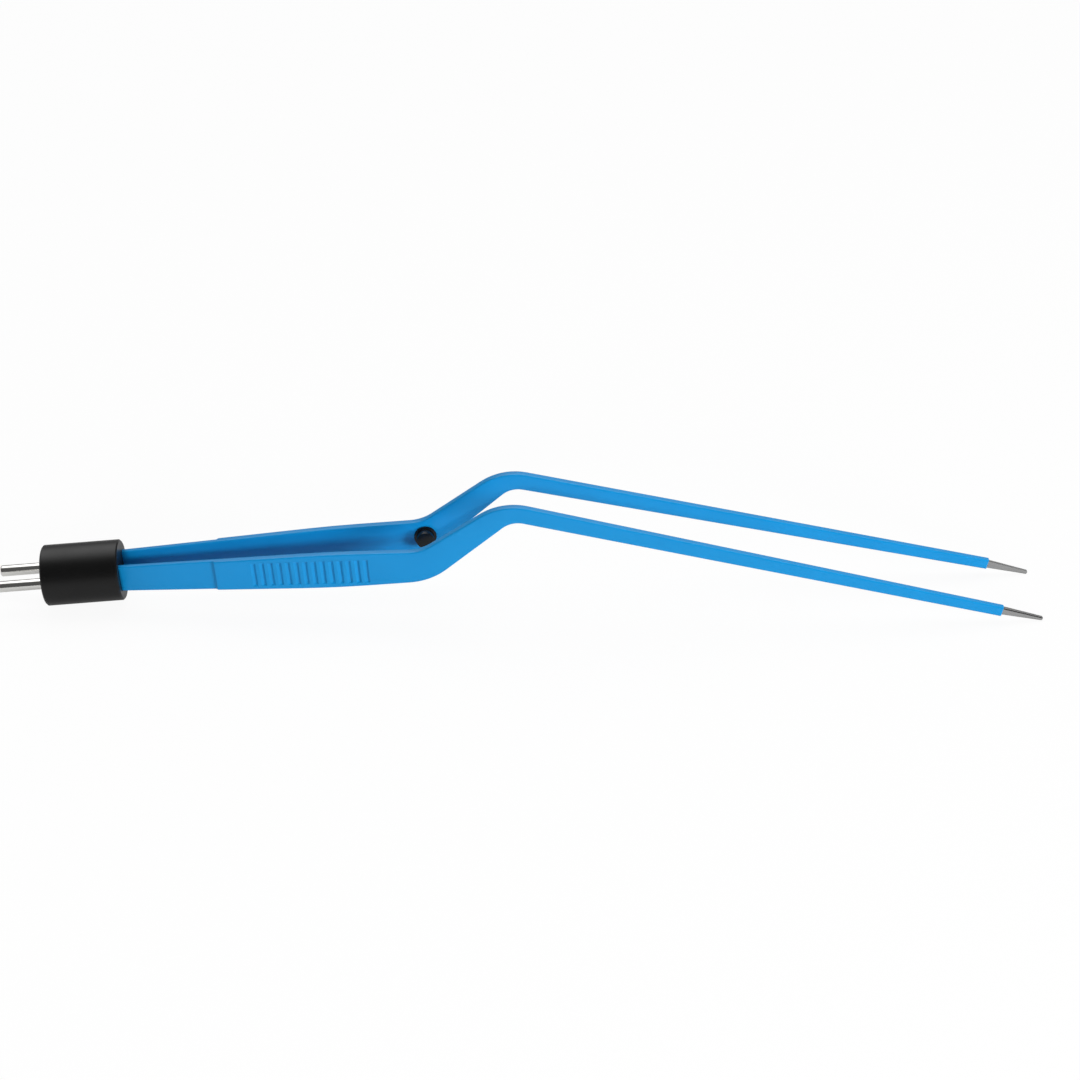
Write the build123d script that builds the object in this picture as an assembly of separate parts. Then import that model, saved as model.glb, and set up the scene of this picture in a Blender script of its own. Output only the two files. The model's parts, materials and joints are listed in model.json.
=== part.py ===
from build123d import *
from math import asin, atan2, cos, degrees, hypot, radians, sin, tan
import os

os.makedirs("parts", exist_ok=True)

# Bayonet bipolar forceps with a two-pin plug. All sizes in millimetres and degrees.
# Everything is drawn about the axis of the plug: x runs from the rear face of the cap to the tips,
# z is up in the plane of the bayonet bend, and the left arm is the one on +y.
# The finished forceps are then tipped about the rear face, to stand on the cap and the two tips.

# Cap: a moulded cup with two slots in its front wall
cap_diameter = 13.0
cap_length = 16.5
cap_side_wall = 1.0
cap_front_wall = 2.0
cap_edge_chamfer = 0.3

# Pin carrier: the insulating disc at the rear and its tongue between the two tails
carrier_thickness = 3.0
carrier_fit = 0.02
tongue_thickness = 2.4
tongue_height = 7.0
tongue_end_gap = 0.1

# Contact pins
pin_diameter = 2.4
pin_spacing = 6.7
pin_reach = 10.1
pin_end_chamfer = 0.3
pin_seat_diameter = 3.0
pin_collar_diameter = 3.6
pin_collar_thickness = 0.8
pin_seat_fit = 0.02
tang_length = 7.4

# Rivet between each tail and its tang
rivet_diameter = 1.2
rivet_head_diameter = 2.0
rivet_head_thickness = 0.4
rivet_station = 9.5
rivet_play = 0.08
rivet_sink = 0.25
tail_to_tang_gap = 0.2

# Tail of a blade inside the cap
tail_height = 4.0
tail_beyond_rivet = 2.2
coat_start = 13.0

# Side view of an arm: heights of its centre line and its depth at each corner
root_depth = 5.73
root_drop = 0.08
grip_reach = 45.2
grip_drop = 0.86
grip_depth = 8.15
bend_reach = 64.95
bend_drop = 0.98
bend_depth = 7.32
bend_lean = 11.8
peak_reach = 83.1
peak_rise = 10.94
peak_depth = 4.67
peak_lean = 21.0
shaft_length = 107.4
shaft_fall = 17.32
shaft_end_depth = 2.23

# Radii of the corners in side view
grip_radius = 250.0
bend_top_radius = 9.0
bend_bottom_radius = 14.0
peak_top_radius = 12.5
peak_bottom_radius = 5.0

# Plan view of an arm: splay of its inner face and its thickness
root_half_gap = 2.68
handle_splay = 2.49
shaft_splay = 1.52
spring_thickness = 1.25
spring_length = 20.0
step_run = 0.45
handle_thickness = 1.7
peak_thickness = 1.9
shaft_end_thickness = 1.62
step_radius = 0.4

# Coat and edges
coat_thickness = 0.3
coat_edge_radius = 0.4

# Bare tip
tip_length = 9.06
tip_droop = 1.0
tip_toe_in = 1.2
tip_end_depth = 0.75
tip_end_thickness = 0.7
tip_nose_radius = 0.3
tip_back_chamfer = 0.2

# Grip grooves across the outer face
groove_count = 14
groove_first = 28.6
groove_pitch = 1.83
groove_width = 1.1
groove_depth = 0.3
groove_length = 5.5
groove_long_flank = 0.7
groove_short_flank = 0.25
groove_end_flank = 0.3
groove_row_drop = 0.6
groove_row_fall = 1.45
groove_coat = 0.25
slot_width = 0.7

# Stop peg on the inner face of the left arm
peg_reach = 64.65
peg_drop = 0.75
peg_flange_diameter = 4.8
peg_flange_thickness = 0.4
peg_post_diameter = 3.8
peg_post_length = 1.8
peg_end_chamfer = 0.25
peg_shank_diameter = 1.8
peg_shank_depth = 0.7
peg_fit = 0.02

# Clearance of the arms in the slots of the cap, and of the closed tips from the middle plane
slot_clearance = 0.15
tip_clearance = 0.05

# Derived places
cap_radius = cap_diameter / 2
bore_radius = cap_radius - cap_side_wall
cavity_end = cap_length - cap_front_wall
pin_y = pin_spacing / 2
pin_radius = pin_diameter / 2
collar_end = carrier_thickness + pin_collar_thickness
tail_start = rivet_station - tail_beyond_rivet
peak_x = cap_length + peak_reach
step_x = cap_length + spring_length
handle_slope = tan(radians(handle_splay))
shaft_slope = tan(radians(shaft_splay))
tip_base_depth = shaft_end_depth - 2 * coat_thickness
wide = 4 * cap_diameter


def inner_y(x):
    """Distance of an arm's inner face from the middle plane."""
    handle_y = root_half_gap + (min(x, peak_x) - cap_length) * handle_slope
    return handle_y + max(x - peak_x, 0) * shaft_slope


def handle_thickness_at(x):
    """Thickness of the handle, which grows evenly from the step to the peak of the bend."""
    share = (x - step_x) / (peak_x - step_x)
    return handle_thickness + share * (peak_thickness - handle_thickness)


def leaning(centre, depth, lean):
    """Top and bottom corner of a section that leans back from the vertical."""
    half = Vector(-sin(radians(lean)), cos(radians(lean))) * (depth / 2)
    return centre + half, centre - half


# Corners of the arm in side view, as (x, z)
root_top, root_bottom = leaning(Vector(coat_start, -root_drop), root_depth, 0)
grip_top, grip_bottom = leaning(Vector(cap_length + grip_reach, -grip_drop), grip_depth, 0)
bend_top, bend_bottom = leaning(Vector(cap_length + bend_reach, -bend_drop), bend_depth, bend_lean)
peak_centre = Vector(peak_x, peak_rise)
peak_top, peak_bottom = leaning(peak_centre, peak_depth, peak_lean)
shaft_way = Vector(cos(radians(shaft_fall)), -sin(radians(shaft_fall)))
shaft_end = peak_centre + shaft_way * shaft_length
end_top, end_bottom = leaning(shaft_end, shaft_end_depth, -shaft_fall)
tip_fall = shaft_fall + tip_droop
tip_way = Vector(cos(radians(tip_fall)), -sin(radians(tip_fall)))
tip_end = shaft_end + tip_way * tip_length
tip_top, tip_bottom = leaning(tip_end, tip_end_depth, -tip_fall)

# The tail turns about the middle of its rivet, until the tip is a hair from the middle plane
tail_inner_y = inner_y(rivet_station) + coat_thickness
tail_outer_y = tail_inner_y + spring_thickness - 2 * coat_thickness
hinge_y = (tail_inner_y + tail_outer_y) / 2
tip_base_y = inner_y(shaft_end.X) + coat_thickness
tip_slope = tan(radians(shaft_splay - tip_toe_in))
tip_inner_y = tip_base_y + (tip_end.X - shaft_end.X) * tip_slope
tip_reach = tip_end.X - rivet_station
tip_radius = hypot(tip_reach, tip_inner_y - hinge_y)
open_angle = degrees(atan2(tip_inner_y - hinge_y, tip_reach))
shut_angle = degrees(asin((tip_clearance - hinge_y) / tip_radius))
closing_angle = open_angle - shut_angle
tang_flat_y = tail_outer_y + tail_to_tang_gap
rivet_end_y = pin_y + pin_radius - rivet_sink

# The forceps stand on the chamfer of the cap's rear edge and on the rounded noses of the tips
nose_drop = tip_end_depth / 2 - tip_nose_radius
nose = tip_end - tip_way * tip_nose_radius - Vector(-tip_way.Y, tip_way.X) * nose_drop
foot = Vector(cap_edge_chamfer, -cap_radius)
foot_to_nose = nose - foot
nose_lift = degrees(asin(tip_nose_radius / foot_to_nose.length))
rest_tilt = nose_lift - degrees(atan2(foot_to_nose.Y, foot_to_nose.X))


def rounded(points, radii):
    """Closed outline with an arc at each corner that has a radius."""
    outline = make_face(Polyline(*points, close=True))
    for corner, radius in radii:
        vertex = outline.vertices().sort_by_distance((corner.X, corner.Y, 0))[0]
        outline = fillet(vertex, radius)
    return outline


def side_prism(outline):
    """Solid with the outline in side view, wide enough for both arms."""
    return extrude(Plane.XZ * outline, wide / 2, both=True)


def plan_prism(outline):
    """Solid with the outline in plan view, high enough for the whole bayonet."""
    return extrude(Plane.XY * outline, wide, both=True)


def coated_side():
    """Side view of the arm as far as its coat reaches."""
    points = [root_bottom, grip_bottom, bend_bottom, peak_bottom, end_bottom]
    points += [end_top, peak_top, bend_top, grip_top, root_top]
    radii = [(grip_top, grip_radius), (grip_bottom, grip_radius)]
    radii += [(bend_top, bend_top_radius), (bend_bottom, bend_bottom_radius)]
    radii += [(peak_top, peak_top_radius), (peak_bottom, peak_bottom_radius)]
    return rounded(points, radii)


def coated_plan(x_start, x_end):
    """Plan view of the left arm between two stations: thin spring, outward step, handle and shaft."""
    step_out_x = step_x + step_run
    step_foot = Vector(step_x, inner_y(step_x) + spring_thickness)
    step_head = Vector(step_out_x, inner_y(step_out_x) + handle_thickness)
    end_share = (x_end - peak_x) / (shaft_end.X - peak_x)
    end_thickness = peak_thickness + end_share * (shaft_end_thickness - peak_thickness)
    points = [
        Vector(x_start, inner_y(x_start)),
        Vector(peak_x, inner_y(peak_x)),
        Vector(x_end, inner_y(x_end)),
        Vector(x_end, inner_y(x_end) + end_thickness),
        Vector(peak_x, inner_y(peak_x) + peak_thickness),
        step_head,
        step_foot,
        Vector(x_start, inner_y(x_start) + spring_thickness),
    ]
    return rounded(points, [(step_head, step_radius), (step_foot, step_radius)])


def end_cutter():
    """Everything beyond the square end of the coat."""
    beyond = Pos(wide / 2, 0, 0) * Box(wide, wide, wide)
    return Pos(shaft_end.X, 0, shaft_end.Y) * Rot(0, shaft_fall, 0) * beyond


def running_edges(solid):
    """Edges that run along an arm, and not across its thickness."""
    return [edge for edge in solid.edges() if edge.bounding_box().size.X > step_run / 2]


def groove_places():
    """Where the grooves cross the left arm: points on its outer face."""
    places = []
    for i in range(groove_count):
        along = i * groove_pitch
        x = cap_length + groove_first + along
        y = inner_y(x) + handle_thickness_at(x)
        z = -groove_row_drop - along * tan(radians(groove_row_fall))
        places.append(Pos(x, y, z))
    return places


def groove_cutter():
    """Wedge that leaves a groove: a long flank towards the cap, a short one towards the tips."""
    left = -groove_width / 2
    right = groove_width / 2
    top = groove_length / 2
    across = [(left - groove_long_flank, groove_depth), (left + groove_long_flank, -groove_depth)]
    across += [(right - groove_short_flank, -groove_depth), (right + groove_short_flank, groove_depth)]
    along = [(groove_depth, top + groove_end_flank), (-groove_depth, top - groove_end_flank)]
    along += [(-groove_depth, groove_end_flank - top), (groove_depth, -top - groove_end_flank)]
    wedge = plan_prism(make_face(Polyline(*across, close=True)))
    ends = extrude(Plane.YZ * make_face(Polyline(*along, close=True)), wide, both=True)
    return Rot(0, 0, handle_splay) * (wedge & ends)


def slot_cutter():
    """Bar that leaves a square slot in the steel, under a groove of the coat."""
    depth = 2 * (groove_depth + groove_coat)
    floor_offset = (groove_long_flank - groove_short_flank) / 2
    return Rot(0, 0, handle_splay) * Pos(floor_offset, 0, 0) * Box(slot_width, depth, groove_length)


def coated_body():
    """Outer form of the left arm as far as its coat reaches, with rounded edges and grip grooves."""
    body = side_prism(coated_side()) & plan_prism(coated_plan(coat_start, shaft_end.X + tip_length))
    body -= end_cutter()
    body = fillet(running_edges(body), coat_edge_radius)
    for place in groove_places():
        body -= place * groove_cutter()
    return body


def tail_outline():
    """Side view of the plain tail that lies in the cap."""
    tail_end = coat_start + 2 * coat_thickness
    return Pos((tail_start + tail_end) / 2, -root_drop) * Rectangle(tail_end - tail_start, tail_height)


def tip_outline():
    """Side view of the bare tip, which tapers from the steel under the coat to a round nose."""
    base = shaft_end - shaft_way * coat_thickness
    base_top, base_bottom = leaning(base, tip_base_depth, -shaft_fall)
    tip = make_face(Polyline(base_bottom, tip_bottom, tip_top, base_top, close=True))
    return fillet(tip.vertices().sort_by(Axis.X)[-2:], tip_nose_radius)


def blade_side():
    """Side view of the whole blade: tail, steel under the coat, and tip."""
    core = offset(coated_side(), -coat_thickness, kind=Kind.INTERSECTION)
    return core + tail_outline() + tip_outline()


def blade_plan():
    """Plan view of the left blade: the coated plan less the coat, then the tip, thinned from outside."""
    far_x = tip_end.X + tip_length
    core = offset(coated_plan(tail_start - wide, far_x), -coat_thickness, kind=Kind.INTERSECTION)
    core -= Pos(shaft_end.X + wide / 2, 0) * Rectangle(wide, 4 * wide)
    base_outer_y = tip_base_y + shaft_end_thickness - 2 * coat_thickness
    end_outer_y = tip_inner_y + tip_end_thickness
    far_inner_y = tip_base_y + (far_x - shaft_end.X) * tip_slope
    points = [(shaft_end.X, tip_base_y), (far_x, far_inner_y), (far_x, end_outer_y)]
    points += [(tip_end.X, end_outer_y), (shaft_end.X, base_outer_y)]
    return core + make_face(Polyline(*points, close=True))


def tip_back_edges(solid):
    """Long edges of the bare tip on its back, away from the gripping face."""
    middle_y = tip_base_y + (shaft_end_thickness - 2 * coat_thickness) / 2
    past_coat_x = shaft_end.X + tip_length / 4
    picked = []
    for edge in running_edges(solid):
        centre = edge.center()
        if centre.X > past_coat_x and centre.Y > middle_y:
            picked.append(edge)
    return picked


def make_blade():
    """Spring steel blade of the left arm, from its tail in the cap to its bare tip."""
    blade = side_prism(blade_side()) & plan_prism(blade_plan())
    blade = chamfer(tip_back_edges(blade), tip_back_chamfer)
    for place in groove_places():
        blade -= place * slot_cutter()
    hole_length = 4 * spring_thickness
    hole = Pos(rivet_station, hinge_y, -root_drop) * Rot(90, 0, 0)
    return blade - hole * Cylinder(rivet_diameter / 2 + rivet_play, hole_length)


def peg_place():
    """Foot of the stop peg on the left arm's inner face, with its axis towards the other arm."""
    x = cap_length + peg_reach
    return Pos(x, inner_y(x), -peg_drop) * Rot(0, 0, handle_splay) * Rot(90, 0, 0)


def make_stop_peg():
    """Moulded peg: a shank in the blade, a flange on the coat and a post that faces the other arm."""
    shank_length = coat_thickness + peg_shank_depth
    shank = Pos(0, 0, -shank_length / 2) * Cylinder(peg_shank_diameter / 2, shank_length)
    flange = Pos(0, 0, peg_flange_thickness / 2) * Cylinder(peg_flange_diameter / 2, peg_flange_thickness)
    post_length = peg_flange_thickness + peg_post_length
    post = Pos(0, 0, post_length / 2) * Cylinder(peg_post_diameter / 2, post_length)
    post = chamfer(post.faces().sort_by(Axis.Z)[-1].edges(), peg_end_chamfer)
    return peg_place() * (shank + flange + post)


def peg_hole():
    """Blind hole for the peg's shank, through the coat and into the steel."""
    depth = coat_thickness + peg_shank_depth + peg_fit
    drill = Pos(0, 0, -depth / 2) * Cylinder(peg_shank_diameter / 2 + peg_fit, depth)
    return peg_place() * drill


def along_x(solid, x_start):
    """A turned form drawn along z from zero, laid along the cap's axis."""
    return Pos(x_start, 0, 0) * Rot(0, 90, 0) * solid


def rod(radius, x_start, x_end):
    """Round bar on the cap's axis between two stations."""
    length = x_end - x_start
    return along_x(Pos(0, 0, length / 2) * Cylinder(radius, length), x_start)


def line_z(start, end, x):
    """Height at a station of the straight line between two corners of the side view."""
    return start.Y + (end.Y - start.Y) * (x - start.X) / (end.X - start.X)


def arm_slot():
    """Slot in the cap's front wall for the left arm, with room for it to swing inwards."""
    swing = radians(closing_angle)
    stations = (cavity_end, cap_length)
    inner = min(inner_y(x) - (x - rivet_station) * sin(swing) for x in stations) - slot_clearance
    outer = inner_y(cap_length) + spring_thickness + slot_clearance
    top = line_z(root_top, grip_top, cap_length) + slot_clearance
    bottom = line_z(root_bottom, grip_bottom, cap_length) - slot_clearance
    slot = Pos(0, (inner + outer) / 2, (top + bottom) / 2)
    slot *= Box(2 * cap_front_wall, outer - inner, top - bottom)
    corner_radius = coat_edge_radius + slot_clearance
    slot = fillet(slot.edges().filter_by(Axis.X), corner_radius)
    return Pos(cap_length, 0, 0) * slot


def make_connector_shell():
    """Moulded cap: a cup that is open at the rear, with a slot for each arm in its front wall."""
    shell = rod(cap_radius, 0, cap_length)
    shell = chamfer(shell.edges().filter_by(GeomType.CIRCLE), cap_edge_chamfer)
    shell -= rod(bore_radius, 0, cavity_end)
    slot = arm_slot()
    return shell - slot - mirror(slot, Plane.XZ)


def make_pin_carrier():
    """Insulating disc that closes the rear of the cap, with a tongue between the two tails."""
    disc = rod(bore_radius - carrier_fit, 0, carrier_thickness)
    tongue_end = cavity_end - tongue_end_gap
    carrier = disc + Pos(tongue_end / 2, 0, 0) * Box(tongue_end, tongue_thickness, tongue_height)
    for side in (-1, 1):
        seat = rod(pin_seat_diameter / 2 + pin_seat_fit, -carrier_thickness, 2 * carrier_thickness)
        carrier -= Pos(0, side * pin_y, 0) * seat
    return carrier


def make_contact_pin():
    """Left contact pin: round plug end, seat in the carrier, collar, and a flat tang for the rivet."""
    plug = rod(pin_radius, -pin_reach, 0)
    plug = chamfer(plug.edges().filter_by(GeomType.CIRCLE).sort_by(Axis.X)[0], pin_end_chamfer)
    seat = rod(pin_seat_diameter / 2, 0, carrier_thickness)
    collar = rod(pin_collar_diameter / 2, carrier_thickness, collar_end)
    tang_end = collar_end + tang_length
    tang = Pos(0, pin_y, 0) * rod(pin_radius, collar_end, tang_end)
    tang_middle = (collar_end + tang_end) / 2
    tang -= Pos(tang_middle, tang_flat_y - wide / 2, 0) * Box(tang_length, wide, wide)
    hole = Pos(rivet_station, pin_y, -root_drop) * Rot(90, 0, 0) * Cylinder(rivet_diameter / 2, wide)
    return Pos(0, pin_y, 0) * (plug + seat + collar) + (tang - hole)


def make_tail_rivet():
    """Left rivet: its shank is set in the tang, and the tail has a little play under its head."""
    head_y = tail_inner_y - rivet_play - rivet_head_thickness
    shank_length = rivet_end_y - head_y
    head = Pos(0, head_y + rivet_head_thickness / 2, 0) * Rot(90, 0, 0)
    rivet = head * Cylinder(rivet_head_diameter / 2, rivet_head_thickness)
    rivet += Pos(0, head_y + shank_length / 2, 0) * Rot(90, 0, 0) * Cylinder(rivet_diameter / 2, shank_length)
    return Pos(rivet_station, 0, -root_drop) * rivet


def main():
    body = coated_body()
    blade = make_blade()
    coat = body - blade
    hole = peg_hole()
    pin = make_contact_pin()
    rivet = make_tail_rivet()
    pieces = {
        "connector_shell": make_connector_shell(),
        "pin_carrier": make_pin_carrier(),
        "contact_pin_left": pin,
        "contact_pin_right": mirror(pin, Plane.XZ),
        "tail_rivet_left": rivet,
        "tail_rivet_right": mirror(rivet, Plane.XZ),
        "blade_left": blade - hole,
        "blade_right": mirror(blade, Plane.XZ),
        "insulation_left": coat - hole,
        "insulation_right": mirror(coat, Plane.XZ),
        "stop_peg": make_stop_peg(),
    }
    for name, piece in pieces.items():
        export_step(Rot(0, -rest_tilt, 0) * piece, f"parts/{name}.step")
    print("rest tilt", round(rest_tilt, 4), "closing angle", round(closing_angle, 4))
    print("hinge at x", rivet_station, "y", round(hinge_y, 4))


main()
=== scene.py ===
# %% [markdown]
# Bayonet bipolar forceps, as they stand on a white table. Two blue nylon-coated spring arms with bare steel
# tips are held in a black plug, and two plated contact pins leave the plug at the rear. The solids come from
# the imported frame, already at their real size and place. Here they get their finishes, light and camera, and
# the pieces that the eye rests on are modelled again with softer edges.

# %% Load the frame
import json
from math import acos, pi, radians

import bpy
from mathutils import Matrix, Vector


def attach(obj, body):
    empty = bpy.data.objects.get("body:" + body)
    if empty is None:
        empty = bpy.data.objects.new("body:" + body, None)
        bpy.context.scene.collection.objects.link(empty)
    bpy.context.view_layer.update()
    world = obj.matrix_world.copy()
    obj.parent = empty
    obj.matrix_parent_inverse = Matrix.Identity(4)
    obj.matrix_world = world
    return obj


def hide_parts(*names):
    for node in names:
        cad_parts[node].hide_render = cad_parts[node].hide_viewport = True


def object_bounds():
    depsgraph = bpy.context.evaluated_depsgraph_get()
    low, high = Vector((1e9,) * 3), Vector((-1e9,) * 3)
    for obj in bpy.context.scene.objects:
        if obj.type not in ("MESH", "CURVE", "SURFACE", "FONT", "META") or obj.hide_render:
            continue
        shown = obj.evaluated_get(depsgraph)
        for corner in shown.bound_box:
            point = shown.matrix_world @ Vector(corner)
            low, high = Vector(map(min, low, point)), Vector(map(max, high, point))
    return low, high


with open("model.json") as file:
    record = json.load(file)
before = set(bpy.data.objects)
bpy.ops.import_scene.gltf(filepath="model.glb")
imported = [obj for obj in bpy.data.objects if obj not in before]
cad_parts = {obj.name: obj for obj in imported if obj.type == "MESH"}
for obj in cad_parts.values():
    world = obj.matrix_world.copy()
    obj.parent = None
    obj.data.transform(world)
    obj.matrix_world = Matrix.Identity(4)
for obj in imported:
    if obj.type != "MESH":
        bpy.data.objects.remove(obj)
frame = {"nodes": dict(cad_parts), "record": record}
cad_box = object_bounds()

bpy.ops.object.select_all(action="DESELECT")
MM = 0.001
print("pieces:", ", ".join(sorted(frame["nodes"])))


# %% [markdown]
# Colours are written as the sRGB hex codes that a paint chart would give. Blender's shaders want linear
# light, so one function turns the one into the other. Linear numbers could be typed in as well, but nobody
# can read a colour off them.

# %% Colour helper
def colour(code):
    """A linear colour with alpha from an sRGB hex code."""
    shares = [int(code[i : i + 2], 16) / 255 for i in (1, 3, 5)]
    linear = [s / 12.92 if s <= 0.04045 else ((s + 0.055) / 1.055) ** 2.4 for s in shares]
    return (*linear, 1.0)


print("mid grey is", round(colour("#808080")[0], 3))


# %% [markdown]
# Every finish is a small network of nodes. One function adds any node: its settings are named, and each
# input is given either a plain value or the output that feeds it. A second one starts a finish, with the
# object's own coordinates in metres, so that a pattern keeps its real size wherever the piece is used.

# %% Node helpers
def add_node(tree, kind, inputs=(), **settings):
    """One node with its settings, and with a value or a link on each named input."""
    new = tree.nodes.new(kind)
    for name, value in settings.items():
        setattr(new, name, value)
    for key, value in dict(inputs).items():
        if isinstance(value, bpy.types.NodeSocket):
            tree.links.new(value, new.inputs[key])
        else:
            new.inputs[key].default_value = value
    return new


def start_finish(name):
    """An empty material, its node tree, and the object coordinates that its patterns read."""
    material = bpy.data.materials.new(name)
    material.use_nodes = True
    tree = material.node_tree
    tree.nodes.clear()
    place = add_node(tree, "ShaderNodeTexCoord").outputs["Object"]
    return material, tree, place


def close_finish(tree, shader):
    """Sends a shader to the material's output."""
    add_node(tree, "ShaderNodeOutputMaterial", {"Surface": shader.outputs[0]})


# Nearly all values of a noise texture lie in this span, which map nodes stretch to the span they need
NOISE_SPAN = {"From Min": 0.3, "From Max": 0.7}
print("noise is read from", NOISE_SPAN["From Min"], "to", NOISE_SPAN["From Max"])


# %% [markdown]
# The coat is nylon 11, sintered on by dipping the hot blade in powder. It melts to an even skin with soft
# edges and a faint orange peel, a ripple about a millimetre and a half long and a few thousandths high. The
# blue pigment runs all through it, so wear doesn't show another colour, only a slightly duller sheen where
# fingers rub. A painted picture could show all this, but noise in the object's own coordinates has no seams
# and any size. The bevel node softens what the modelled rims leave sharp.

# %% Blue nylon coat
PEEL_LENGTH = 1.5 * MM
PEEL_HEIGHT = 0.01 * MM
PEEL_STRENGTH = 0.1
SHEEN_PATCH = 9.0 * MM
SHEEN_ROUGHNESS = (0.34, 0.44)
COAT_EDGE = 0.16 * MM
NYLON_IOR = 1.53
NYLON_SPECULAR = 0.35

nylon, tree, place = start_finish("nylon_dip_coat_blue")
patches = add_node(tree, "ShaderNodeTexNoise", {"Vector": place, "Scale": 1 / SHEEN_PATCH, "Detail": 3.0})
peel = add_node(tree, "ShaderNodeTexNoise", {"Vector": place, "Scale": 1 / PEEL_LENGTH, "Detail": 1.0})
tint = add_node(tree, "ShaderNodeValToRGB", {"Fac": patches.outputs["Fac"]})
tint.color_ramp.elements[0].position = NOISE_SPAN["From Min"]
tint.color_ramp.elements[0].color = colour("#0A8DD0")
tint.color_ramp.elements[1].position = NOISE_SPAN["From Max"]
tint.color_ramp.elements[1].color = colour("#1091D4")
sheen = add_node(
    tree,
    "ShaderNodeMapRange",
    {
        "Value": patches.outputs["Fac"],
        **NOISE_SPAN,
        "To Min": SHEEN_ROUGHNESS[0],
        "To Max": SHEEN_ROUGHNESS[1],
    },
)
soft_edge = add_node(tree, "ShaderNodeBevel", {"Radius": COAT_EDGE}, samples=8)
ripple = add_node(
    tree,
    "ShaderNodeBump",
    {
        "Height": peel.outputs["Fac"],
        "Strength": PEEL_STRENGTH,
        "Distance": PEEL_HEIGHT,
        "Normal": soft_edge.outputs[0],
    },
)
nylon_shader = add_node(
    tree,
    "ShaderNodeBsdfPrincipled",
    {
        "Base Color": tint.outputs["Color"],
        "Roughness": sheen.outputs[0],
        "IOR": NYLON_IOR,
        "Specular IOR Level": NYLON_SPECULAR,
        "Normal": ripple.outputs[0],
    },
)
close_finish(tree, nylon_shader)
print("coat ripple every", PEEL_LENGTH / MM, "mm")


# %% [markdown]
# The plug's cap, the disc at its rear and the stop peg are moulded in black plastic. The steel mould was
# spark-eroded, which leaves a fine grain of about a tenth of a millimetre. It is too fine to see from here,
# so it is drawn a little coarser. The grain is what gives black plastic its broad, soft shine. The three
# differ only in their colours and their sheen, so one function makes them all.

# %% Black moulded plastic
GRAIN_LENGTH = 0.25 * MM
GRAIN_HEIGHT = 0.01 * MM
GRAIN_STRENGTH = 0.12
RUB_PATCH = 6.0 * MM
PLASTIC_EDGE = 0.12 * MM
PLASTIC_IOR = 1.5
PLASTIC_SPECULAR = 0.36


def black_plastic(name, base, worn, dull, bright):
    """Moulded black plastic whose roughness wanders between two values."""
    material, tree, place = start_finish(name)
    grain = add_node(tree, "ShaderNodeTexNoise", {"Vector": place, "Scale": 1 / GRAIN_LENGTH, "Detail": 2.0})
    rubs = add_node(tree, "ShaderNodeTexNoise", {"Vector": place, "Scale": 1 / RUB_PATCH, "Detail": 4.0})
    shade = add_node(tree, "ShaderNodeValToRGB", {"Fac": rubs.outputs["Fac"]})
    shade.color_ramp.elements[0].color = colour(base)
    shade.color_ramp.elements[1].color = colour(worn)
    rough = add_node(
        tree,
        "ShaderNodeMapRange",
        {"Value": rubs.outputs["Fac"], **NOISE_SPAN, "To Min": bright, "To Max": dull},
    )
    edge = add_node(tree, "ShaderNodeBevel", {"Radius": PLASTIC_EDGE}, samples=6)
    bump = add_node(
        tree,
        "ShaderNodeBump",
        {
            "Height": grain.outputs["Fac"],
            "Strength": GRAIN_STRENGTH,
            "Distance": GRAIN_HEIGHT,
            "Normal": edge.outputs[0],
        },
    )
    shader = add_node(
        tree,
        "ShaderNodeBsdfPrincipled",
        {
            "Base Color": shade.outputs["Color"],
            "Roughness": rough.outputs[0],
            "IOR": PLASTIC_IOR,
            "Specular IOR Level": PLASTIC_SPECULAR,
            "Normal": bump.outputs[0],
        },
    )
    close_finish(tree, shader)
    return material


cap_plastic = black_plastic("moulded_abs_black", "#0A0A0A", "#0D0D0D", 0.42, 0.34)
disc_plastic = black_plastic("moulded_pbt_black", "#111111", "#161616", 0.5, 0.44)
peg_plastic = black_plastic("moulded_nylon_black", "#0C0C0D", "#101011", 0.3, 0.22)
print("black plastics:", cap_plastic.name, disc_plastic.name, peg_plastic.name)


# %% [markdown]
# The contact pins are brass, turned on a lathe and plated with bright nickel. Nickel is a slightly warm
# white metal. The lathe's feed leaves rings a few hundredths of a millimetre apart, and the plating all but
# fills them, so they only stretch the highlights a little round the pin. They are drawn coarser, as noise
# that is stretched across the pin, because a wave texture would look too even.

# %% Nickel-plated pins
RING_PITCH = 0.12 * MM
RING_HEIGHT = 0.004 * MM
RING_STRENGTH = 0.06
RING_STRETCH = 0.02
SMEAR_LENGTH = 2.5 * MM
PLATING_ROUGHNESS = (0.07, 0.14)
PIN_EDGE = 0.2 * MM

nickel, tree, place = start_finish("nickel_plating_bright")
along_pin = add_node(tree, "ShaderNodeMapping", {"Vector": place, "Scale": (1.0, RING_STRETCH, RING_STRETCH)})
rings = add_node(
    tree, "ShaderNodeTexNoise", {"Vector": along_pin.outputs[0], "Scale": 1 / RING_PITCH, "Detail": 1.0}
)
smears = add_node(tree, "ShaderNodeTexNoise", {"Vector": place, "Scale": 1 / SMEAR_LENGTH, "Detail": 3.0})
polish = add_node(
    tree,
    "ShaderNodeMapRange",
    {
        "Value": smears.outputs["Fac"],
        **NOISE_SPAN,
        "To Min": PLATING_ROUGHNESS[0],
        "To Max": PLATING_ROUGHNESS[1],
    },
)
plating_tint = add_node(tree, "ShaderNodeValToRGB", {"Fac": smears.outputs["Fac"]})
plating_tint.color_ramp.elements[0].color = colour("#E9E8E5")
plating_tint.color_ramp.elements[1].color = colour("#EFEEEB")
pin_edge = add_node(tree, "ShaderNodeBevel", {"Radius": PIN_EDGE}, samples=6)
pin_bump = add_node(
    tree,
    "ShaderNodeBump",
    {
        "Height": rings.outputs["Fac"],
        "Strength": RING_STRENGTH,
        "Distance": RING_HEIGHT,
        "Normal": pin_edge.outputs[0],
    },
)
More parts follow.
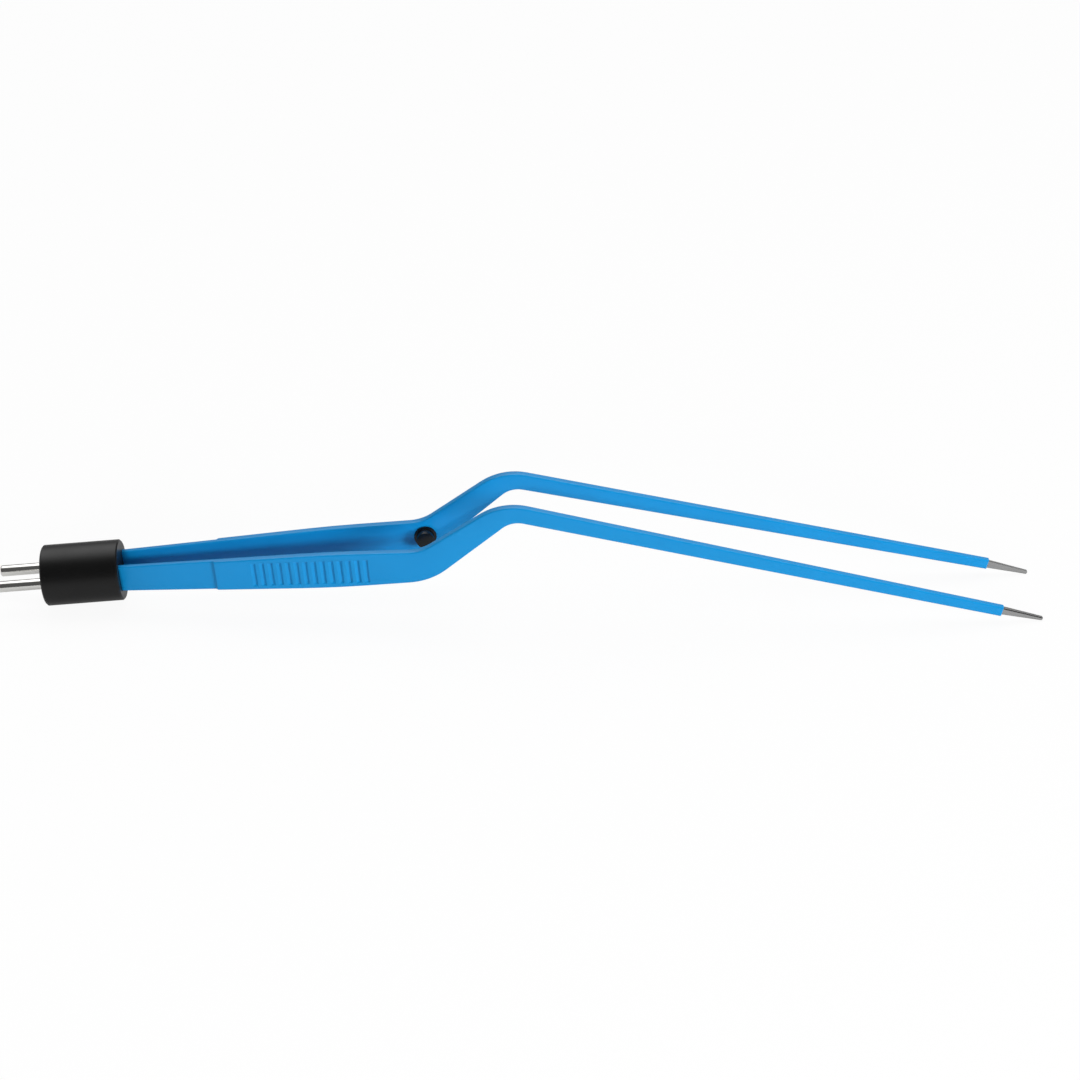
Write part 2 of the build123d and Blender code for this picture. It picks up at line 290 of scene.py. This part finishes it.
nickel_shader = add_node(
    tree,
    "ShaderNodeBsdfPrincipled",
    {
        "Base Color": plating_tint.outputs["Color"],
        "Metallic": 1.0,
        "Roughness": polish.outputs[0],
        "Normal": pin_bump.outputs[0],
    },
)
close_finish(tree, nickel_shader)
print("turning rings every", RING_PITCH / MM, "mm")


# %% [markdown]
# The blades are hardened stainless spring steel, ground along their length and then glass-bead blasted to a
# glare-free grey, which is what shows on the bare tips. The grinding lines run with the tip, a tenth of a
# millimetre apart and many times as long. The tip falls by 13.5 degrees, so the noise that draws the lines
# is turned by as much first and then stretched. An anisotropic shader would be another way, but it doesn't
# show single lines.

# %% Bare spring steel
LINE_PITCH = 0.1 * MM
LINE_HEIGHT = 0.004 * MM
LINE_STRENGTH = 0.1
LINE_STRETCH = 0.03
TIP_SLOPE = radians(13.5)
STAIN_LENGTH = 3.0 * MM
STEEL_ROUGHNESS = (0.24, 0.36)
STEEL_EDGE = 0.12 * MM

steel, tree, place = start_finish("spring_steel_ground")
turned = add_node(tree, "ShaderNodeMapping", {"Vector": place, "Rotation": (0.0, -TIP_SLOPE, 0.0)})
stretched = add_node(
    tree, "ShaderNodeMapping", {"Vector": turned.outputs[0], "Scale": (LINE_STRETCH, 1.0, 1.0)}
)
lines = add_node(
    tree, "ShaderNodeTexNoise", {"Vector": stretched.outputs[0], "Scale": 1 / LINE_PITCH, "Detail": 2.0}
)
stains = add_node(tree, "ShaderNodeTexNoise", {"Vector": place, "Scale": 1 / STAIN_LENGTH, "Detail": 3.0})
steel_rough = add_node(
    tree,
    "ShaderNodeMapRange",
    {
        "Value": lines.outputs["Fac"],
        **NOISE_SPAN,
        "To Min": STEEL_ROUGHNESS[0],
        "To Max": STEEL_ROUGHNESS[1],
    },
)
steel_tint = add_node(tree, "ShaderNodeValToRGB", {"Fac": stains.outputs["Fac"]})
steel_tint.color_ramp.elements[0].color = colour("#B4B4B4")
steel_tint.color_ramp.elements[1].color = colour("#BEBEBD")
steel_edge = add_node(tree, "ShaderNodeBevel", {"Radius": STEEL_EDGE}, samples=8)
steel_bump = add_node(
    tree,
    "ShaderNodeBump",
    {
        "Height": lines.outputs["Fac"],
        "Strength": LINE_STRENGTH,
        "Distance": LINE_HEIGHT,
        "Normal": steel_edge.outputs[0],
    },
)
steel_shader = add_node(
    tree,
    "ShaderNodeBsdfPrincipled",
    {
        "Base Color": steel_tint.outputs["Color"],
        "Metallic": 1.0,
        "Roughness": steel_rough.outputs[0],
        "Normal": steel_bump.outputs[0],
    },
)
close_finish(tree, steel_shader)
print("grinding lines every", LINE_PITCH / MM, "mm")


# %% [markdown]
# Cap, disc, rivets and blades are right as they come from the CAD and only need a finish. Pins, peg and
# coats are modelled again with the soft edges of the real ones, and each stands exactly where its solid is.
# The plug's axis leans by a few degrees, because the forceps rest on the cap and the tips. The angle could
# be measured on the meshes, but the part's record says it already: it gives the way that each pin points.

# %% Where the plug is
mounts = {mount["name"]: mount for mount in frame["record"]["mounts"]}
FRONT = -Vector(mounts["pin_left"]["axis"]).normalized()
SIDE = Vector((0.0, 1.0, 0.0))
UP = FRONT.cross(SIDE).normalized()
PLUG = Matrix((FRONT, SIDE, UP)).transposed().to_4x4()
print("plug leans", round(FRONT.z / FRONT.x * 180 / pi, 2), "degrees")


# %% [markdown]
# All new pieces are shaped in edit mode, where a hand would click on the faces that look one way. These
# small helpers pick such faces, pull and round them, and put a finished piece with the body that carries it.

# %% Modelling helpers
FACING = 0.99
SMOOTH_BELOW = radians(35)


def look_for(test):
    """Selects exactly the faces of the piece in edit mode that pass the test."""
    bpy.ops.mesh.select_all(action="DESELECT")
    bpy.ops.object.mode_set(mode="OBJECT")
    for face in bpy.context.object.data.polygons:
        face.select = test(face)
    bpy.ops.object.mode_set(mode="EDIT")


def looks_along(way):
    """A test for faces that look straight along a direction."""
    return lambda face: face.normal.dot(way) > FACING


def pull(way, length):
    """Extrudes the selected faces along a direction."""
    bpy.ops.mesh.extrude_region_move(TRANSFORM_OT_translate={"value": Vector(way) * length})


def round_edges(piece, width, segments, angle):
    """Rounds every edge of a piece that is sharper than an angle."""
    bpy.context.view_layer.objects.active = piece
    rounding = piece.modifiers.new("rounded", "BEVEL")
    rounding.width = width
    rounding.segments = segments
    rounding.limit_method = "ANGLE"
    rounding.angle_limit = radians(angle)
    bpy.ops.object.modifier_apply(modifier=rounding.name)


def hand_over(piece, name, node, body, finish):
    """Names a finished piece, gives it its finish and lets it stand for its CAD node."""
    piece.name = name
    piece.data.name = name
    piece.data.materials.clear()
    piece.data.materials.append(finish)
    bpy.ops.object.select_all(action="DESELECT")
    piece.select_set(True)
    bpy.context.view_layer.objects.active = piece
    bpy.ops.object.transform_apply(location=True, rotation=True, scale=True)
    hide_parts(node)
    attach(piece, body)
    bpy.ops.object.select_all(action="DESELECT")
    print(name, "has", len(piece.data.polygons), "faces")


print("faces look a way within", round(acos(FACING) * 180 / pi, 1), "degrees")


# %% [markdown]
# A contact pin is turned from brass rod: a plug end with a rounded nose, a seat in the disc and a collar
# behind it. A cylinder of the plug end's size is the start. Its front face is extruded and widened into the
# seat and the collar, and the nose's rim is bevelled in four segments, as a lathe tool rounds it. A spun
# outline would do as well, but a cylinder is round from the start. The flat tang inside the cap can't be
# seen, so the piece ends at the collar. The second pin is a copy.

# %% Contact pins
PIN_SIDES = 48
PIN_RADIUS = 1.2 * MM
PIN_REACH = 10.1 * MM
PIN_SPACING = 6.7 * MM
SEAT_RADIUS = 1.5 * MM
SEAT_LENGTH = 3.0 * MM
COLLAR_RADIUS = 1.8 * MM
COLLAR_LENGTH = 0.8 * MM
NOSE_RADIUS = 0.34 * MM
NOSE_SEGMENTS = 4
NOSE_FROM = 0.99 * PIN_REACH


def widen(share):
    """Extrudes the selected round face in its own plane and scales it about the axis."""
    pull((1, 0, 0), 0.0)
    bpy.ops.transform.resize(value=(1.0, share, share), center_override=(0.0, 0.0, 0.0))


bpy.ops.mesh.primitive_cylinder_add(
    vertices=PIN_SIDES,
    radius=PIN_RADIUS,
    depth=PIN_REACH,
    location=(-PIN_REACH / 2, 0, 0),
    rotation=(0, pi / 2, 0),
)
pin = bpy.context.object
bpy.ops.object.transform_apply(location=True, rotation=True, scale=True)
bpy.ops.object.mode_set(mode="EDIT")
look_for(looks_along((1, 0, 0)))
widen(SEAT_RADIUS / PIN_RADIUS)
pull((1, 0, 0), SEAT_LENGTH)
widen(COLLAR_RADIUS / SEAT_RADIUS)
pull((1, 0, 0), COLLAR_LENGTH)
look_for(lambda face: face.normal.x < -FACING and face.center.x < -NOSE_FROM)
bpy.ops.mesh.bevel(offset=NOSE_RADIUS, segments=NOSE_SEGMENTS, affect="EDGES")
bpy.ops.object.mode_set(mode="OBJECT")
bpy.ops.object.shade_smooth_by_angle(angle=SMOOTH_BELOW)

second_pin = pin.copy()
second_pin.data = pin.data.copy()
bpy.context.scene.collection.objects.link(second_pin)
for piece, side, name in ((pin, 1, "left"), (second_pin, -1, "right")):
    piece.matrix_world = PLUG @ Matrix.Translation((0.0, side * PIN_SPACING / 2, 0.0))
    hand_over(piece, f"plug_pin_{name}", f"contact_pin_{name}", "plug", nickel)


# %% [markdown]
# The stop peg keeps the arms from being squeezed too far. It is a small moulding: a thin flange that sits on
# the coat, and a post with a softly domed end that meets the other arm. A flat cylinder is the flange. Its
# top face is inset to the post's width, extruded to its length, and then inset and raised twice more for
# the dome. Last, all rims are rounded, because moulded plastic has no sharp ones.

# %% Stop peg
PEG_SIDES = 64
FLANGE_RADIUS = 2.4 * MM
FLANGE_THICKNESS = 0.4 * MM
POST_RADIUS = 1.9 * MM
POST_LENGTH = 1.8 * MM
DOME_STEPS = ((0.6 * MM, 0.05 * MM), (0.6 * MM, 0.02 * MM))
RIM_RADIUS = 0.16 * MM
RIM_SEGMENTS = 3
RIM_ANGLE = 60
PEG_SINK = 0.05 * MM

# The middle of the flange on the coat, along the plug's own axes, and the turn of the coat there
PEG_FOOT = Vector((81.15, 5.4914, -0.75)) * MM
HANDLE_SPLAY = radians(2.49)

bpy.ops.mesh.primitive_cylinder_add(
    vertices=PEG_SIDES, radius=FLANGE_RADIUS, depth=FLANGE_THICKNESS, location=(0, 0, FLANGE_THICKNESS / 2)
)
peg = bpy.context.object
bpy.ops.object.transform_apply(location=True, rotation=True, scale=True)
bpy.ops.object.mode_set(mode="EDIT")
look_for(looks_along((0, 0, -1)))
pull((0, 0, -1), PEG_SINK)
look_for(looks_along((0, 0, 1)))
bpy.ops.mesh.inset(thickness=FLANGE_RADIUS - POST_RADIUS)
pull((0, 0, 1), POST_LENGTH)
for step_in, step_up in DOME_STEPS:
    bpy.ops.mesh.inset(thickness=step_in)
    bpy.ops.transform.translate(value=(0, 0, step_up))
bpy.ops.object.mode_set(mode="OBJECT")
round_edges(peg, RIM_RADIUS, RIM_SEGMENTS, RIM_ANGLE)
bpy.ops.object.shade_smooth_by_angle(angle=SMOOTH_BELOW)
upright = Matrix.Rotation(HANDLE_SPLAY, 4, "Z") @ Matrix.Rotation(pi / 2, 4, "X")
peg.matrix_world = PLUG @ Matrix.Translation(PEG_FOOT) @ upright
hand_over(peg, "peg_moulding", "stop_peg", "left_arm", peg_plastic)


# %% [markdown]
# The coats are drawn out from the solids themselves. A copy of each is merged into whole faces, and a bevel
# rounds the rims of the grooves, the step and the end beside the bare tip. The real nylon powder melts and
# pulls back from sharp rims in the same way, which no cut solid shows. The coats could be built anew from
# their outline, but then they might stray from the steel that they have to fit.

# %% Melted rims of the coats
MELT_RADIUS = 0.12 * MM
MELT_SEGMENTS = 2
MELT_ANGLE = 20
MERGE_GAP = 0.0005 * MM
FLAT_WITHIN = radians(0.5)

for side in ("left", "right"):
    source = frame["nodes"][f"insulation_{side}"]
    coat = bpy.data.objects.new("coat", source.data.copy())
    bpy.context.scene.collection.objects.link(coat)
    bpy.ops.object.select_all(action="DESELECT")
    coat.select_set(True)
    bpy.context.view_layer.objects.active = coat
    bpy.ops.object.mode_set(mode="EDIT")
    bpy.ops.mesh.select_all(action="SELECT")
    bpy.ops.mesh.remove_doubles(threshold=MERGE_GAP)
    bpy.ops.mesh.dissolve_limited(angle_limit=FLAT_WITHIN)
    bpy.ops.mesh.customdata_custom_splitnormals_clear()
    bpy.ops.object.mode_set(mode="OBJECT")
    round_edges(coat, MELT_RADIUS, MELT_SEGMENTS, MELT_ANGLE)
    bpy.ops.object.shade_smooth_by_angle(angle=SMOOTH_BELOW)
    hand_over(coat, f"coat_{side}", f"insulation_{side}", f"{side}_arm", nylon)


# %% [markdown]
# The other six solids keep their shapes. The cap is black ABS, the disc a duller black PBT that stands the
# heat of soldering, and blades and rivets are the same steel. A finish could go on with a new material slot,
# but each solid has one already, so the finish just takes its place.

# %% Put the finishes on the solids
finishes = {
    "connector_shell": cap_plastic,
    "pin_carrier": disc_plastic,
    "tail_rivet_left": steel,
    "tail_rivet_right": steel,
    "blade_left": steel,
    "blade_right": steel,
}
for name, finish in finishes.items():
    for slot in frame["nodes"][name].material_slots:
        slot.material = finish
print("finished", len(finishes), "pieces")


# %% [markdown]
# The forceps stand on a white table. To the camera it is almost pure white, as in a catalogue picture, but a
# small part of what the camera sees stays the plain lit surface, so that it keeps the soft shadow under the
# plug and the tips. The polished pins show the same table, with more of its real shade. A brighter lamp
# could bleach the table as well, but it would bleach the forceps too.

# %% Table
TABLE_SIZE = 6.0
TABLE_MIDDLE = 0.1
TABLE_GAP = 0.02 * MM
PAPER_GRAIN = 2.0 * MM
WHITE_STRENGTH = 1.05
SHADOW_KEPT = 0.12
SHADE_IN_METAL = 0.75
lowest = cad_box[0][2]

table_white, tree, place = start_finish("table_white")
rays = add_node(tree, "ShaderNodeLightPath")
in_metal = add_node(
    tree,
    "ShaderNodeMath",
    {0: rays.outputs["Is Glossy Ray"], 1: rays.outputs["Is Transmission Ray"]},
    operation="MAXIMUM",
)
grain = add_node(tree, "ShaderNodeTexNoise", {"Vector": place, "Scale": 1 / PAPER_GRAIN, "Detail": 4.0})
shade = add_node(tree, "ShaderNodeValToRGB", {"Fac": grain.outputs["Fac"]})
shade.color_ramp.elements[0].color = colour("#CDCDCD")
shade.color_ramp.elements[1].color = colour("#D3D3D3")
paper = add_node(tree, "ShaderNodeBsdfDiffuse", {"Color": shade.outputs["Color"]})
white = add_node(tree, "ShaderNodeEmission", {"Color": colour("#FFFFFF"), "Strength": WHITE_STRENGTH})
in_view = add_node(tree, "ShaderNodeMixShader", {0: SHADOW_KEPT, 1: white.outputs[0], 2: paper.outputs[0]})
mirrored = add_node(
    tree, "ShaderNodeMixShader", {0: SHADE_IN_METAL, 1: white.outputs[0], 2: paper.outputs[0]}
)
plain = add_node(
    tree, "ShaderNodeMixShader", {0: in_metal.outputs[0], 1: paper.outputs[0], 2: mirrored.outputs[0]}
)
surface = add_node(
    tree,
    "ShaderNodeMixShader",
    {0: rays.outputs["Is Camera Ray"], 1: plain.outputs[0], 2: in_view.outputs[0]},
)
close_finish(tree, surface)

bpy.ops.mesh.primitive_plane_add(size=TABLE_SIZE, location=(TABLE_MIDDLE, 0.0, lowest - TABLE_GAP))
table = bpy.context.object
table.name = "table"
table.data.materials.append(table_white)
print("table at", round(table.location.z / MM, 2), "mm")


# %% [markdown]
# The room is dim, with one large softbox overhead that leans to the back and grows brighter towards its
# middle. It draws the pale band along the top of the black cap and the white line on the pins, and the dim
# front of the room is the dark band below it. The softbox could be a lamp, but the world is a colour by
# direction, so no object is needed. Only the camera sees plain white there.

# %% Room with a softbox overhead
SOFTBOX_WAY = (0.0, 0.454, 0.891)
SOFTBOX_LEVEL = 2.5
SOFTBOX_SPAN = {"From Min": 0.76, "From Max": 0.97}
WALL_SPAN = {"From Min": -0.3, "From Max": 0.3}
FRONT_LEVEL = 0.09
BACK_LEVEL = 0.25

world = bpy.data.worlds.new("dim_room")
bpy.context.scene.world = world
world.use_nodes = True
tree = world.node_tree
tree.nodes.clear()
way = add_node(tree, "ShaderNodeTexCoord").outputs["Generated"]
towards_box = add_node(tree, "ShaderNodeVectorMath", {0: way, 1: SOFTBOX_WAY}, operation="DOT_PRODUCT")
in_box = add_node(
    tree,
    "ShaderNodeMapRange",
    {"Value": towards_box.outputs["Value"], **SOFTBOX_SPAN, "To Min": 0.0, "To Max": 1.0},
)
parts = add_node(tree, "ShaderNodeSeparateXYZ", {"Vector": way})
walls = add_node(
    tree,
    "ShaderNodeMapRange",
    {"Value": parts.outputs["Y"], **WALL_SPAN, "To Min": FRONT_LEVEL, "To Max": BACK_LEVEL},
)
level = add_node(
    tree,
    "ShaderNodeMix",
    {"Factor": in_box.outputs[0], "A": walls.outputs[0], "B": SOFTBOX_LEVEL},
    data_type="FLOAT",
)
room_light = add_node(
    tree, "ShaderNodeBackground", {"Color": colour("#FFFFFF"), "Strength": level.outputs[0]}
)
room_seen = add_node(tree, "ShaderNodeBackground", {"Color": colour("#FFFFFF"), "Strength": 1.0})
rays = add_node(tree, "ShaderNodeLightPath")
room = add_node(
    tree,
    "ShaderNodeMixShader",
    {0: rays.outputs["Is Camera Ray"], 1: room_light.outputs[0], 2: room_seen.outputs[0]},
)
add_node(tree, "ShaderNodeOutputWorld", {"Surface": room.outputs[0]})
print("softbox level", SOFTBOX_LEVEL)


# %% [markdown]
# Two square lamps stand in front, and mirror-like surfaces don't show them. The right one stands low and far
# round to the tips' side. From there its light grazes the grip grooves, and passes under the raised bend of
# the near arm to the inner face of the far one beside the peg. The left one is small and twice as high, so
# the cap throws a narrow dark band with a crisp edge on the arms. One broad lamp in front would be simpler,
# but it would flatten the grooves and lose both effects.

# %% Front lamps
LAMP_LEVEL = 4.0
LAMP_AIM = Vector((0.1, 0.0, 0.005))
LAMPS = {
    "lamp_right": {"spot": (0.86, -0.48, 0.11), "size": 0.3, "share": 1.9},
    "lamp_left": {"spot": (-0.12, -0.88, 0.25), "size": 0.16, "share": 0.72},
}


def soft_lamp(name, spot, size, share):
    """Square lamp that faces the middle of the forceps, unseen by mirror-like surfaces."""
    bpy.ops.object.light_add(type="AREA", location=spot)
    lamp = bpy.context.object
    lamp.name = name
    lamp.data.size = size
    lamp.data.energy = LAMP_LEVEL * share
    lamp.rotation_euler = (LAMP_AIM - Vector(spot)).to_track_quat("-Z", "Y").to_euler()
    lamp.visible_glossy = False


for name, settings in LAMPS.items():
    soft_lamp(name, **settings)
print("lamps:", ", ".join(LAMPS))


# %% [markdown]
# The camera stands about 57 centimetres away, 30 degrees above the table and nearly square to the side of
# the forceps, with a long lens. It was worked out from the ellipses of the round cap and the lines of the
# arms. A camera that is aimed by eye would be quicker, but then no edge would fall where the photo has it.

# %% Camera
CAMERA_PLACE = (0.09785, -0.48698, 0.28975)
LOOK_RIGHT = radians(0.887)
LOOK_DOWN = radians(30.04)
ROLL = radians(0.155)
FOCAL_LENGTH = 88.36
SENSOR_WIDTH = 36.0

bpy.ops.object.camera_add(location=CAMERA_PLACE)
camera = bpy.context.object
camera.name = "camera"
aim = Matrix.Rotation(-LOOK_RIGHT, 4, "Z") @ Matrix.Rotation(pi / 2 - LOOK_DOWN, 4, "X")
camera.rotation_euler = (aim @ Matrix.Rotation(ROLL, 4, "Z")).to_euler()
camera.data.sensor_fit = "HORIZONTAL"
camera.data.sensor_width = SENSOR_WIDTH
camera.data.lens = FOCAL_LENGTH
bpy.context.scene.camera = camera
bpy.context.scene.view_settings.view_transform = "Standard"
print("camera at", [round(v / MM) for v in CAMERA_PLACE], "mm")
